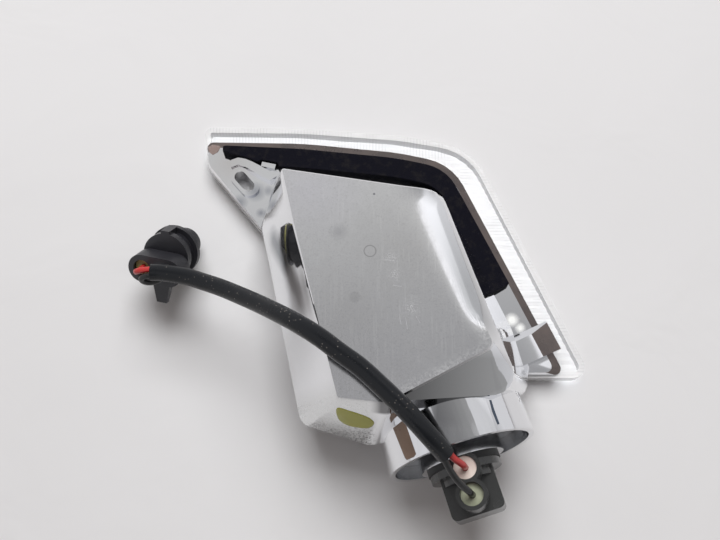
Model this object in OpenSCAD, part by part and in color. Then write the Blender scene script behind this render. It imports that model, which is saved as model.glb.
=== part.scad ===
// Rear turn signal light of a scooter, lying on its lens with its back up.
// Millimetres. The lens face lies on z = 0, +Z points out of the back of the housing.
// X runs from the screw ear to the locating bar, Y towards the long straight edge.

/* [Lens] */
// Distance from the origin to the ear end of the lens
lens_left = 63.5; // [62:0.5:66]
// Distance from the origin to the locating bar end of the lens
lens_right = 59.5; // [58:0.5:62]
// Distance from the origin to the straight edge of the lens
lens_top = 45.5; // [45:0.5:48]
// Distance from the origin to the lower edge of the lens
lens_bottom = 39.4; // [39:0.2:41]
// Thickness of the front plate
lens_plate = 2.2; // [1.8:0.1:3]
// Height of the rim over the table
lens_depth = 6; // [5:0.5:8]
// Thickness of the rim
lens_rim = 1.8; // [1.4:0.1:2.4]
// Rounding of the front edge
lens_edge = 1.4; // [0.8:0.2:1.6]
// Distance from one optical flute to the next
flute_pitch = 2.4; // [1.8:0.2:4]
// Height of a flute
flute_height = 0.6; // [0.3:0.1:1]

/* [Housing] */
// Height of the flat back face over the table
back_height = 47; // [44:1:52]
// Wall of the moulding
wall = 1.8; // [1.4:0.1:2.2]
// Thickness of the flange
flange_thick = 2.2; // [1.8:0.1:3]
// Clear rim of the lens left showing at the ear end of the straight edge
rim_start = 5.8; // [5:0.2:7]
// Clear rim left showing at the outer corner
rim_corner = 7.6; // [7:0.2:9]
// Clear rim left showing at the locating bar end
rim_end = 6.9; // [6:0.1:8]
// Radius of the bevelled edge around the back face
back_edge = 0.6; // [0.4:0.1:1]

/* [Ear and bar] */
// Half the width of the slot for the fixing screw
screw_r = 1.9; // [1.7:0.1:2.2]
// Length of the slot beyond its width
screw_travel = 4.2; // [3:0.2:4.6]
// Half the width of the boss around the slot
screw_boss_r = 3.1; // [2.9:0.1:3.3]
// Height of the boss above the flange
screw_boss_height = 1.1; // [0.6:0.1:2]
// Length of the bar beyond the flange
bar_reach = 1.9; // [1:0.1:3]
// Width of the bar
bar_width = 9.6; // [8:0.2:10]
// Height of the bar above the flange
bar_height = 3; // [2:0.5:4]

/* [Gasket] */
// Width of the foam strip
gasket_width = 6.6; // [5:0.2:7]
// Thickness of the foam strip
gasket_thick = 3; // [2:0.5:4]
// Bare flange between the strip and the edge
gasket_margin = 3.2; // [2.6:0.1:4]

/* [Collar] */
// Outer radius of the round collar
collar_r = 20.9; // [20:0.1:21.5]
// Wall of the collar
collar_wall = 1.5; // [1.2:0.1:2]
// Depth of the collar from its mouth to its floor
collar_depth = 10; // [9:0.5:11]
// Outer radius of the socket tube inside the collar
socket_tube_r = 11.8; // [11.4:0.1:13]
// Radius of the opening for the bulb holder
socket_r = 10.3; // [9.8:0.1:10.6]
// Length of the socket tube beyond the collar mouth
socket_out = 1.8; // [1:0.2:3]

/* [Bulb holder] */
// Radius of the holder flange
holder_flange_r = 10; // [9.8:0.1:11]
// Thickness of the holder flange
holder_flange_thick = 2.1; // [1.6:0.1:3]
// Thickness of the rubber ring under the flange
holder_seal_thick = 1.5; // [1:0.1:2]
// Width of the grip block
block_width = 14.8; // [13:0.2:16]
// Length of the grip block
block_length = 11.3; // [11.1:0.1:14]
// Outer radius of a wire entry tube
entry_r = 4.2; // [4:0.1:4.4]
// Distance between the two wire entry tubes
entry_pitch = 7; // [6.8:0.1:7.2]
// Height of the wire entry tubes over the collar axis
entry_height = 12.2; // [12:0.2:13]

/* [Bulb] */
// Radius of the bulb glass
bulb_r = 9.2; // [8:0.1:9.5]
// Radius of the bulb cap
cap_r = 7.5; // [7.3:0.1:7.6]
// Length of the bulb cap
cap_length = 13; // [12:0.5:14]

/* [Cable] */
// Outer diameter of the cable sleeve
sleeve_d = 5.3; // [5.1:0.1:5.6]
// Diameter of each insulated wire
wire_d = 1.8; // [1.6:0.1:1.8]

/* [Connector] */
// Radius of the connector flange
plug_flange_r = 8; // [7.4:0.1:8.4]
// Radius of the mating nose
plug_nose_r = 4.8; // [4.6:0.1:5]
// Length of the mating nose beyond the flange
plug_nose_length = 7.5; // [7:0.5:8]
// Distance between the two wire entries of the connector
plug_pitch = 8.6; // [8:0.2:9.2]

/* [Hidden] */
$fn = 64;

// Running clearance between pieces that slip into one another
slip = 0.1;
// Overlap used to make cuts pass through a face
over = 0.5;
// Points on each rounded corner, less one
arc_steps = 5;

flange_bottom = lens_depth;
flange_top = flange_bottom + flange_thick;

// Collar frame: mouth centre, turn about Z and upward tilt of the axis
collar_at = [17, -64.7, 23.4];
collar_turn = 16.2;
collar_tilt = 6.3;
collar_floor = 2.2;
socket_shift = -0.4;
holder_roll = 10;

// Lens outline, clockwise from the ear end of the straight edge, as x, y, corner radius
lens_outline = [
    [-lens_left, lens_top, 2.5],
    [-30, lens_top - 0.5, 150],
    [2, lens_top - 3.1, 80],
    [25.6, lens_top - 7.4, 20],
    [lens_right, -lens_bottom, 3.6],
    [-27, -lens_bottom, 9],
    [-38, 2, 20],
    [1.5 - lens_left, lens_top - 14, 6]
];
// How far each edge of the flange stays inside the lens, at the start and end of the edge
rims = [
    [rim_start, rim_start], [rim_start, rim_start + 0.8], [rim_start + 0.8, rim_corner],
    [rim_corner + 1.2, rim_end + 0.4], [0.8, 0.8], [0.3, 0.3], [0, 0], [0.6, 0.6]
];
flange_outline = inset(lens_outline, rims, [2, 150, 80, 17, 2, 8, 20, 6]);

// Sections through the tub, as height and corners; clockwise from the ear side of the straight edge
foot_corners = [
    [-38, lens_top - 17.9, 4], [0, lens_top - 21.1, 60], [13.6, lens_top - 22.9, 13], [35.4, -31, 12],
    [42, -38.2, 1.5], [-6, -38.2, 8], [-25.5, -37.4, 7], [-43.4, 10.6, 3]
];
low_corners = [
    [-37.6, lens_top - 19.5, 4], [-0.7, lens_top - 22.8, 60], [13.6, lens_top - 24.7, 12], [35, -31, 12],
    [38.4, -45.6, 3], [-7.5, -60, 8], [-28, -53.6, 5], [-42.8, 8, 6]
];
belly_corners = [
    [-36.5, lens_top - 24, 3], [-3.5, lens_top - 28, 60], [13, lens_top - 30.5, 10], [32.6, -29, 14],
    [37, -46.6, 4], [-8, -62.2, 8], [-28, -56, 4.5], [-40.9, 3, 14]
];
shoulder_corners = [
    [-34.5, lens_top - 31.5, 1.5], [-7, lens_top - 35.7, 60], [11.6, lens_top - 38.5, 8], [25.4, -33, 12],
    [31.4, -49.6, 6], [-4.5, -56, 8], [-19.2, -54.2, 2], [-32, -2, 20]
];
back_corners = [
    [-33.8, lens_top - 33.3, 0.8], [-8, lens_top - 37.2, 60], [11, lens_top - 40.3, 7], [21.4, -31, 12],
    [24.2, -39, 2.5], [-4.5, -54.2, 6], [-17.6, -52.8, 1.2], [-30, -4.5, 40]
];
low_height = 12;
belly_height = 24.5;
shoulder_height = back_height - 5;

// Cable route from the connector to the bulb holder, centre of the sleeve
sleeve_route = [
    [-72.7, -12.1, 26.4], [-70.1, -12.1, 26.4], [-66, -12.7, 26.6], [-61.7, -13.6, 27],
    [-56.9, -15.4, 28], [-51.5, -17.8, 30.2], [-45.5, -21.1, 33.6], [-39.2, -25, 38.2],
    [-33.1, -29.2, 43.4], [-27.2, -33.4, 47.8], [-21.8, -37.3, 49.9], [-16.6, -41.3, 50.1],
    [-11.3, -45.2, 50.1], [-6.2, -49.9, 50.1], [-1.2, -54.8, 50.1], [3.5, -59.7, 49.2],
    [7.4, -63.7, 47.2], [10.4, -66.6, 44.8]
];
// Offset of each wire inside the sleeve, as a share of the wire's diameter
wire_side = 0.54;

// Free ends of the wires beyond the sleeve, from hand-placed points
plug_at = [-69.4, 1.2, 9.3];
plug_turn = -23;
plug_rise = 49;
plug_roll = 12;

// Points given as x and the distance below the straight edge of the lens
function below_edge(points) = [for (p = points) [p[0], lens_top - p[1]]];
function unit(v) = v / norm(v);
function flat2(p) = [p[0], p[1]];
// Where the lines a-b and c-d cross
function crossing(a, b, c, d) =
    let (u = b - a, v = d - c, w = c - a, k = u[0] * v[1] - u[1] * v[0])
    a + u * (w[0] * v[1] - w[1] * v[0]) / k;
// Edge i of a clockwise outline moved inwards by gap[0] at its start and gap[1] at its end
function inner_edge(c, i, gap) =
    let (
        a = flat2(c[i]),
        b = flat2(c[(i + 1) % len(c)]),
        u = unit(b - a),
        n = [u[1], -u[0]]
    )
    [a + n * gap[0], b + n * gap[1]];
// Outline moved inwards by its own amount on each edge, with new corner radii
function inset(c, gaps, radii) =
    [
        for (i = [0 : len(c) - 1])
            let (
                before = (i + len(c) - 1) % len(c),
                p = inner_edge(c, before, gaps[before]),
                q = inner_edge(c, i, gaps[i]),
                at = crossing(p[0], p[1], q[0], q[1])
            )
            [at[0], at[1], radii[i]]
    ];
// Outline moved inwards by one amount all round
function shrink(c, gap) =
    inset(c, [for (i = c) [gap, gap]], [for (i = c) max(0.3, i[2] - gap)]);
// Points along the rounded corner b between the corners a and c
function corner_arc(a, b, c) =
    let (
        u = unit(flat2(a) - flat2(b)),
        v = unit(flat2(c) - flat2(b)),
        half = acos(max(-1, min(1, u * v))) / 2,
        room = 0.48 * min(norm(flat2(a) - flat2(b)), norm(flat2(c) - flat2(b))),
        leg = min(b[2] / tan(half), room),
        r = leg * tan(half),
        centre = flat2(b) + unit(u + v) * r / sin(half),
        from = flat2(b) + u * leg - centre,
        to = flat2(b) + v * leg - centre,
        turn = acos(max(-1, min(1, unit(from) * unit(to)))),
        way = from[0] * to[1] - from[1] * to[0] > 0 ? 1 : -1
    )
    [
        for (i = [0 : arc_steps])
            let (t = way * turn * i / arc_steps)
            centre + [from[0] * cos(t) - from[1] * sin(t), from[0] * sin(t) + from[1] * cos(t)]
    ];
// Outline with all its corners rounded, as points
function rounded(c) =
    [
        for (i = [0 : len(c) - 1])
            each corner_arc(c[(i + len(c) - 1) % len(c)], c[i], c[(i + 1) % len(c)])
    ];
function lifted(points, z) = [for (p = points) [p[0], p[1], z]];

// Mean of a list of points
function middle(points) = [for (p = points) 1] * points / len(points);
// Solid through rings of equally many points, each ring clockwise seen from its far end
module loft(rings) {
    count = len(rings[0]);
    last = len(rings) - 1;
    start_hub = (last + 1) * count;
    end_hub = start_hub + 1;
    polyhedron(
        points = [for (ring = rings) each ring, middle(rings[0]), middle(rings[last])],
        faces = [
            for (i = [0 : count - 1])
                [(i + 1) % count, i, start_hub],
            for (i = [0 : count - 1])
                [last * count + i, last * count + (i + 1) % count, end_hub],
            for (k = [0 : last - 1], i = [0 : count - 1])
                let (a = k * count + i, b = k * count + (i + 1) % count)
                [a, b, b + count],
            for (k = [0 : last - 1], i = [0 : count - 1])
                let (a = k * count + i, b = k * count + (i + 1) % count)
                [a, b + count, a + count]
        ]
    );
}

// Direction of a route at point i
function heading(route, i) =
    unit(route[min(i + 1, len(route) - 1)] - route[max(i - 1, 0)]);
// Sideways direction kept level, square to the route
function sideways(route, i) = unit(cross(heading(route, i), [0, 0, 1]));
function upwards(route, i) = cross(sideways(route, i), heading(route, i));
// Ring of points around a route at point i
function ring_at(route, i, r, sides) =
    [
        for (k = [0 : sides - 1])
            let (t = 360 * k / sides)
            route[i] + r * (cos(t) * sideways(route, i) + sin(t) * upwards(route, i))
    ];
module tube(route, r, sides) {
    loft([for (i = [0 : len(route) - 1]) ring_at(route, i, r, sides)]);
}
module pipe(route, outer_r, inner_r, sides) {
    rings = len(route);
    last = rings - 1;
    all = [
        for (i = [0 : last]) each ring_at(route, i, outer_r, sides),
        for (i = [0 : last]) each ring_at(route, i, inner_r, sides)
    ];
    inside = rings * sides;
    polyhedron(
        points = all,
        faces = [
            for (k = [0 : last - 1], i = [0 : sides - 1])
                let (a = k * sides + i, b = k * sides + (i + 1) % sides)
                each [[a, b, b + sides], [a, b + sides, a + sides]],
            for (k = [0 : last - 1], i = [0 : sides - 1])
                let (a = inside + k * sides + i, b = inside + k * sides + (i + 1) % sides)
                each [[a, b + sides, b], [a, a + sides, b + sides]],
            for (i = [0 : sides - 1])
                let (b = (i + 1) % sides)
                each [[i, inside + i, inside + b], [i, inside + b, b]],
            for (i = [0 : sides - 1])
                let (a = last * sides + i, b = last * sides + (i + 1) % sides)
                each [[a, b, inside + b], [a, inside + b, inside + a]]
        ]
    );
}

// Upright form with two round ends, pitch from one centre to the other
module stadium(r, pitch, from, to) {
    translate([0, 0, from])
        linear_extrude(to - from) {
            for (side = [-0.5, 0.5])
                translate([side * pitch, 0])
                    circle(r = r);
            square([pitch, 2 * r], center = true);
        }
}
module ring(r_out, r_in, from, to) {
    translate([0, 0, from])
        difference() {
            cylinder(r = r_out, h = to - from);
            translate([0, 0, -over])
                cylinder(r = r_in, h = to - from + 2 * over);
        }
}
module rod(r, from, to) {
    translate([0, 0, from])
        cylinder(r = r, h = to - from);
}
module slab(outline, from, to) {
    translate([0, 0, from])
        linear_extrude(to - from)
            polygon(rounded(outline));
}

// Local frame of the collar: origin at its mouth, +Z out of it, +Y towards the back face
module at_collar() {
    translate(collar_at)
        rotate([90 - collar_tilt, 0, collar_turn])
            children();
}
// Local frame of the socket tube, a little beside the middle of the collar
module at_socket() {
    at_collar()
        translate([socket_shift, 0, 0])
            children();
}
// Local frame of the bulb holder, turned a little in the socket
module at_holder() {
    at_socket()
        rotate([0, 0, holder_roll])
            children();
}
// Local frame of the connector: origin at its flange, +Z towards the wires
module at_plug() {
    translate(plug_at)
        rotate([90 - plug_rise, 0, plug_turn])
            rotate([0, 0, plug_roll])
                children();
}

// Clear moulded lens: a shallow tray with a rounded front edge and flutes on its inner face
module lens() {
    flutes = ceil((lens_top + lens_bottom) / flute_pitch);
    pocket = shrink(lens_outline, lens_rim);
    flute_root = 0.5;
    color([0.93, 0.95, 0.96, 0.45]) {
        loft([
            lifted(rounded(shrink(lens_outline, lens_edge)), 0),
            lifted(rounded(shrink(lens_outline, 0.3 * lens_edge)), 0.35 * lens_edge),
            lifted(rounded(lens_outline), lens_edge)
        ]);
        difference() {
            slab(lens_outline, lens_edge, lens_depth);
            slab(pocket, lens_plate, lens_depth + over);
        }
        intersection() {
            slab(shrink(pocket, -flute_root), lens_plate - flute_root, lens_plate + 2 * flute_height);
            translate([-lens_left, 0, lens_plate])
                rotate([90, 0, 90])
                    linear_extrude(lens_left + lens_right)
                        polygon([
                            [-lens_bottom, -flute_root - over],
                            for (i = [0 : flutes - 1])
                                each [
                                    [-lens_bottom + i * flute_pitch, 0.15 * flute_height],
                                    [-lens_bottom + (i + 0.5) * flute_pitch, flute_height]
                                ],
                            [-lens_bottom + flutes * flute_pitch, 0.15 * flute_height],
                            [-lens_bottom + flutes * flute_pitch, -flute_root - over]
                        ]);
        }
    }
}

// Outer form of the tub
module tub_solid() {
    loft([
        lifted(rounded(foot_corners), flange_bottom),
        lifted(rounded(foot_corners), flange_top),
        lifted(rounded(low_corners), low_height),
        lifted(rounded(belly_corners), belly_height),
        lifted(rounded(shoulder_corners), shoulder_height),
        lifted(rounded(back_corners), back_height - back_edge),
        lifted(rounded(shrink(back_corners, 0.8 * back_edge)), back_height)
    ]);
}
// Hollow of the tub, one wall inside it
module tub_hollow() {
    loft([
        lifted(rounded(shrink(foot_corners, wall)), flange_bottom - over),
        lifted(rounded(shrink(foot_corners, wall)), flange_top + 0.4 * wall),
        lifted(rounded(shrink(low_corners, wall)), low_height + 0.6 * wall),
        lifted(rounded(shrink(belly_corners, wall)), belly_height),
        lifted(rounded(shrink(shoulder_corners, wall)), shoulder_height - 0.6 * wall),
        lifted(rounded(shrink(back_corners, 1.3 * wall)), back_height - wall)
    ]);
}
// Wall that stands on the lens plate under the flange
module skirt() {
    gap = lens_rim + slip;
    skirt_gaps = [
        for (i = [0 : 7])
            i < 4 ? [0, 0] : [gap, gap]
    ];
    outer = inset(flange_outline, skirt_gaps, [1.5, 150, 80, 17, 2, 7, 20, 5]);
    difference() {
        slab(outer, lens_plate + flute_height + slip, flange_bottom + over);
        slab(shrink(outer, wall), 0, flange_bottom + 2 * over);
    }
}
// Flange with a sloping band along its outer edges
module flange() {
    band = 2.6;
    band_foot = 0.8;
    bands = [for (i = [0 : 7]) i < 4 ? [band, band] : [0.4, 0.4]];
    loft([
        lifted(rounded(flange_outline), flange_bottom),
        lifted(rounded(flange_outline), flange_bottom + band_foot),
        lifted(rounded(inset(flange_outline, bands, [2, 150, 80, 15, 2, 8, 20, 6])), flange_top)
    ]);
}
screw_at = [-48.9, lens_top - 21];
screw_turn = -49;
module at_screw() {
    translate([screw_at[0], screw_at[1], 0])
        rotate([0, 0, screw_turn])
            children();
}
// Boss for the fixing screw, the low rib beside it and the small lug on the ear
module ear_details() {
    at_screw()
        stadium(
            screw_boss_r, screw_travel + 1,
            lens_plate + flute_height + slip, flange_top + screw_boss_height
        );
    translate([0, 0, flange_top - slip])
        linear_extrude(screw_boss_height + 1.1)
            polygon(below_edge([
                [-53.5, 13.9], [-51.2, 13], [-48.9, 13.4], [-46.6, 14.4], [-43.9, 15.9],
                [-40.6, 17.8], [-37.4, 18.1], [-37.4, 19.6], [-38.3, 19.6], [-40.5, 21],
                [-43.1, 19.7], [-46.5, 17.6], [-48.8, 16.2], [-51.1, 15.5], [-53.3, 16.4]
            ]));
    translate([-43.6, lens_top - 16.1, flange_top - slip])
        rotate([0, 0, -12])
            cube([4.6, 1.6, 2.2 + slip]);
}
right_from = flat2(flange_outline[3]);
right_way = unit(flat2(flange_outline[4]) - right_from);
bar_at = 65;
// Bar that reaches from the tub over the flange into a slot of the body panel
module locating_bar() {
    at = right_from + right_way * bar_at;
    length = 14;
    fold = 4.5;
    drop = 1.2;
    bevel = 2;
    side = bar_width / 2 - 0.4;
    translate([at[0], at[1], flange_top - slip])
        rotate([0, 0, atan2(right_way[1], right_way[0]) + 90]) {
            intersection() {
                translate([0, side, 0])
                    rotate([90, 0, 0])
                        linear_extrude(bar_width)
                            polygon([
                                [-length, 0], [-length, bar_height], [-fold, bar_height],
                                [bar_reach, bar_height - drop], [bar_reach, 0]
                            ]);
                translate([-length - over, 0, 0])
                    rotate([90, 0, 90])
                        linear_extrude(length + bar_reach + 2 * over)
                            polygon([
                                [side - bar_width, -over], [side - bar_width, bar_height + over],
                                [side - bevel, bar_height], [side, bar_height - 0.8 * bevel],
                                [side, -over]
                            ]);
            }
            translate([-bar_reach - 1, side - bar_width, slip - flange_thick])
                cube([2 * bar_reach + 1, bar_width, flange_thick]);
        }
}
// Metallised housing: flange, tub, ear, locating bar, round collar and socket tube in one moulding
module housing() {
    color([0.78, 0.79, 0.81])
        difference() {
            union() {
                flange();
                skirt();
                tub_solid();
                ear_details();
                locating_bar();
                at_collar()
                    rod(collar_r, -collar_depth - collar_floor, 0);
                at_socket()
                    rod(socket_tube_r, -collar_depth, socket_out);
            }
            tub_hollow();
            difference() {
                at_collar()
                    rod(collar_r - collar_wall, -collar_depth, over);
                at_socket()
                    rod(socket_tube_r, -collar_depth - over, socket_out + over);
            }
            at_socket()
                rod(socket_r, -2 * collar_depth, socket_out + over);
            at_screw()
                stadium(screw_r, screw_travel, lens_plate, flange_top + screw_boss_height + over);
        }
}

// Foam strip along the straight edge and round the corner
module gasket() {
    wide = gasket_margin + 0.8;
    outer_gaps = [[gasket_margin - 0.3, wide], [wide, wide], [wide, wide], [wide - 0.4, wide - 1.2]];
    outer = inset(
        flange_outline,
        [for (i = [0 : 7]) i < 4 ? outer_gaps[i] : [5, 5]],
        [2, 150, 80, 14, 1, 1, 1, 1]
    );
    inner = inset(
        flange_outline,
        [for (i = [0 : 7]) i < 4 ? outer_gaps[i] + [gasket_width, gasket_width] : [1, 1]],
        [1, 150, 80, 11, 1, 1, 1, 1]
    );
    // Line that the strip keeps to beside the rib and the lug of the ear
    ear_side = below_edge([
        [-60, 25.5], [-60, 10.8], [-56.1, 11], [-53.1, 12.1], [-51, 12.6], [-48.8, 13.1],
        [-46.4, 14.1], [-44.6, 14.8], [-43.4, 14.1], [-38.4, 15.1], [-37.2, 17.1], [-37.2, 25.5]
    ]);
    color([0.05, 0.05, 0.06])
        intersection() {
            difference() {
                slab(outer, flange_top, flange_top + gasket_thick);
                slab(inner, flange_top - over, flange_top + gasket_thick + over);
                slab(shrink(foot_corners, -slip), flange_top - over, flange_top + gasket_thick + over);
                translate([0, 0, flange_top - over])
                    linear_extrude(gasket_thick + 2 * over)
                        polygon(ear_side);
            }
            translate([0, 0, flange_top - over])
                linear_extrude(gasket_thick + 2 * over)
                    polygon(below_edge([
                        [-56.6, -14.5], [60, -14.5], [60, 42.1], [34.9, 56.1], [28, 60.3],
                        [10, 60.3], [-20, 35.5], [-56, 19.5]
                    ]));
        }
}

// Dark ring that fills the floor of the collar around the socket tube
collar_ring_thick = 6;
module collar_ring() {
    color([0.06, 0.06, 0.06])
        difference() {
            at_collar()
                rod(collar_r - collar_wall - slip, -collar_depth, -collar_depth + collar_ring_thick);
            at_socket()
                rod(socket_tube_r + slip, -collar_depth - over, -collar_depth + collar_ring_thick + over);
        }
}

// Places along the holder axis, from the collar mouth outwards
seal_end = socket_out + holder_seal_thick;
flange_end = seal_end + holder_flange_thick;
sleeve_r = cap_r + 0.9;
sleeve_wall = 0.6;
barrel_r = socket_r - 0.2;
barrel_start = -6;
well_r = 6.4;
well_end = flange_end + 1;
block_top = 3.4;
block_bottom = -6.8;
entry_bore = entry_r - 1.1;
entry_floor = 8.6;
// Each tube's place across the block
entry_side = [0.5, 0];
// How far each wire seal lies below the end of its tube
entry_drop = [0.6, 1.9];
entry_first = flange_end + entry_r - 4.4;
entry_places = [entry_first, entry_first + entry_pitch];
sleeve_start = -10;
sleeve_end = seal_end - 0.4;
insulator_thick = 1.4;
contact_end = sleeve_end + insulator_thick + 0.6;

// Height from which the hole of each terminal starts
hole_from = [7, 1.4];
module at_entry(i) {
    translate([entry_side[i], 0, entry_places[i]])
        rotate([-90, 0, 0])
            children();
}
// Black moulded bulb holder: barrel, flange, grip block and two entry tubes
module holder_body() {
    color([0.08, 0.08, 0.09])
        at_holder()
            difference() {
                union() {
                    rod(barrel_r - slip, barrel_start, seal_end);
                    rod(holder_flange_r, seal_end, flange_end);
                    rod(well_r + 1.2, flange_end, well_end + 1);
                    translate([-block_width / 2, block_bottom, flange_end])
                        grip_block([block_width, block_top - block_bottom, block_length], 1.6);
                    for (i = [0, 1])
                        at_entry(i)
                            rod(entry_r, 0, entry_height);
                }
                ring(holder_flange_r + 0.5, barrel_r - slip, barrel_start, seal_end);
                ring(2 * holder_flange_r, barrel_r - slip, barrel_start, socket_out + slip);
                rod(sleeve_r, barrel_start - over, sleeve_end);
                rod(well_r, sleeve_end - over, well_end);
                for (i = [0, 1])
                    at_entry(i) {
                        rod(entry_bore, entry_floor, entry_height + over);
                        rod(1.5, hole_from[i], entry_floor + over);
                    }
            }
}
// Block with its four long edges rounded at the free end
module grip_block(size, r) {
    translate([0, size[1], 0])
        rotate([90, 0, 0])
            linear_extrude(size[1])
                polygon([
                    [0, 0],
                    each [for (t = [0 : 22.5 : 90]) [r - r * cos(t), size[2] - r + r * sin(t)]],
                    each [for (t = [90 : -22.5 : 0]) [size[0] - r + r * cos(t), size[2] - r + r * sin(t)]],
                    [size[0], 0]
                ]);
}
module holder_seal() {
    color([0.12, 0.12, 0.12])
        at_holder()
            ring(holder_flange_r + 0.3, barrel_r, socket_out, seal_end);
}
// Metal sleeve with two slots for the pins of the bulb
module holder_sleeve() {
    color([0.8, 0.8, 0.78])
        at_holder()
            difference() {
                ring(sleeve_r - slip / 2, sleeve_r - sleeve_wall, sleeve_start, sleeve_end);
                for (side = [0, 180])
                    rotate([0, 0, side])
                        translate([sleeve_r - 3 * sleeve_wall, -1.3, sleeve_start - over])
                            cube([4 * sleeve_wall, 2.6, 7]);
            }
}
module holder_insulator() {
    color([0.75, 0.7, 0.6])
        at_holder()
            ring(well_r - slip, 1.6, sleeve_end, sleeve_end + insulator_thick);
}
module holder_contact() {
    color([0.85, 0.65, 0.35])
        at_holder() {
            rod(1.5, sleeve_end - 0.6, contact_end - 0.5);
            rod(3.4, contact_end - 0.5, contact_end);
        }
}
// Arched leaf spring that presses the contact onto the bulb
module holder_spring() {
    rise = well_end - contact_end;
    leaf = 0.4;
    color([0.75, 0.75, 0.76])
        at_holder()
            translate([0, 0, well_end])
                rotate([0, 90, 0])
                    linear_extrude(3.4, center = true)
                        polygon([
                            [0, -4.6], [0, -3], [rise - leaf, -1.2], [rise - leaf, 1.2], [0, 3], [0, 4.6],
                            [leaf, 4.6], [leaf, 3.2], [rise, 1.4], [rise, -1.4], [leaf, -3.2], [leaf, -4.6]
                        ]);
}
module holder_terminals() {
    color([0.85, 0.65, 0.35])
        at_holder()
            for (i = [0, 1])
                at_entry(i)
                    rod(1.4, hole_from[i] + slip, entry_floor);
}
module holder_wire_seals() {
    color([0.93, 0.86, 0.72])
        at_holder()
            for (i = [0, 1])
                at_entry(i)
                    ring(
                        entry_bore - slip / 2, wire_d / 2 + slip / 2,
                        entry_floor, entry_height - entry_drop[i]
                    );
}

// Bulb, along the holder axis towards the tub
cap_end = sleeve_end - 2.4;
cap_start = cap_end - cap_length;
glass_length = 25;
module bulb_glass() {
    neck = bulb_r * 0.72;
    color([0.95, 0.6, 0.2, 0.6])
        at_holder()
            difference() {
                union() {
                    translate([0, 0, cap_start - glass_length + bulb_r])
                        sphere(r = bulb_r);
                    rod(neck, cap_start - glass_length + bulb_r, cap_start);
                }
                translate([0, 0, cap_start - glass_length + bulb_r])
                    sphere(r = bulb_r - 0.8);
                rod(neck - 0.8, cap_start - glass_length + bulb_r, cap_start + over);
            }
}
module bulb_cap() {
    color([0.82, 0.82, 0.8])
        at_holder()
            difference() {
                rod(cap_r, cap_start, cap_end);
                rod(cap_r - 0.5, cap_start - over, cap_end - 0.6);
                rod(3, cap_end - over - 0.6, cap_end + over);
            }
}
module bulb_pins() {
    color([0.82, 0.82, 0.8])
        at_holder()
            for (side = [0, 180])
                rotate([0, 0, side])
                    translate([0, 0, sleeve_start + 4.5])
                        rotate([0, 90, 0])
                            rod(1, cap_r, sleeve_r - slip);
}
module bulb_stem() {
    color([0.8, 0.85, 0.85])
        at_holder() {
            rod(3, cap_start - 6, cap_start + 2);
            rod(cap_r - 0.6, cap_start + 2, cap_start + 3.4);
        }
}
filament_at = cap_start - 13;
module bulb_filament() {
    color([0.4, 0.4, 0.42])
        at_holder() {
            for (side = [-1, 1])
                translate([side * 2, 0, 0])
                    rod(0.3, filament_at, cap_start - 6);
            translate([-2.4, 0, filament_at])
                rotate([0, 90, 0])
                    rod(0.45, 0, 4.8);
        }
}
module bulb_base() {
    color([0.1, 0.1, 0.12])
        at_holder()
            rod(2.9, cap_end - 0.6, cap_end + 0.8);
}
module bulb_tip() {
    color([0.8, 0.8, 0.8])
        at_holder()
            rod(1.6, cap_end + 0.8, sleeve_end - 0.6);
}

// Soft parts
sleeve_sides = 12;
last_stop = len(sleeve_route) - 1;
module cable_sleeve() {
    color([0.07, 0.07, 0.08])
        pipe(sleeve_route, sleeve_d / 2, wire_d + 0.25, sleeve_sides);
}
// Route of a wire: its end at the connector, its line inside the sleeve, its end at the holder
function wire_line(start, side, finish) =
    [
        each start,
        for (i = [0 : last_stop])
            sleeve_route[i] + side * wire_side * wire_d * sideways(sleeve_route, i),
        each finish
    ];
red_start = [
    [-76.4, -5.6, 15.3], [-77.2, -7.4, 17.5], [-77.8, -9.1, 19.7], [-78, -10.3, 21.9],
    [-77.7, -11, 23.9], [-76.8, -11.3, 25.4], [-75.2, -11.3, 26.2]
];
red_finish = [
    [12.6, -67.4, 43.2], [14.2, -68.2, 41.2], [15.3, -68.7, 39.4], [15.9, -68.9, 37.2],
    [16.2, -68.9, 35.7], [16.8, -69.1, 32.8]
];
black_start = [
    [-68.1, -7.6, 16.5], [-68.9, -9.4, 18.7], [-69.5, -11, 20.6], [-70.4, -12.4, 21.9],
    [-72, -13.6, 22.6], [-73.6, -14.1, 23], [-75, -14.1, 23.8], [-75.6, -13.8, 25], [-74.8, -13.4, 26.2]
];
black_finish = [
    [11, -69.4, 43.4], [12.6, -71.8, 42.4], [14.6, -73.9, 41], [16.4, -75.2, 39.4],
    [17.2, -75.7, 37.8], [17.7, -75.8, 36], [18.3, -76, 33.6]
];
module wire_red() {
    color([0.8, 0.1, 0.08])
        tube(wire_line(red_start, -1, red_finish), wire_d / 2, 8);
}
module wire_black() {
    color([0.06, 0.06, 0.06])
        tube(wire_line(black_start, 1, black_finish), wire_d / 2, 8);
}

// Connector, along its own axis from the nose to the wire end
ring_start = 5.2;
barrel_end = 7.6;
neck_end = 9;
plug_end = 15;
plug_entry_r = 2.7;
plug_round_r = 4.4;
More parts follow.
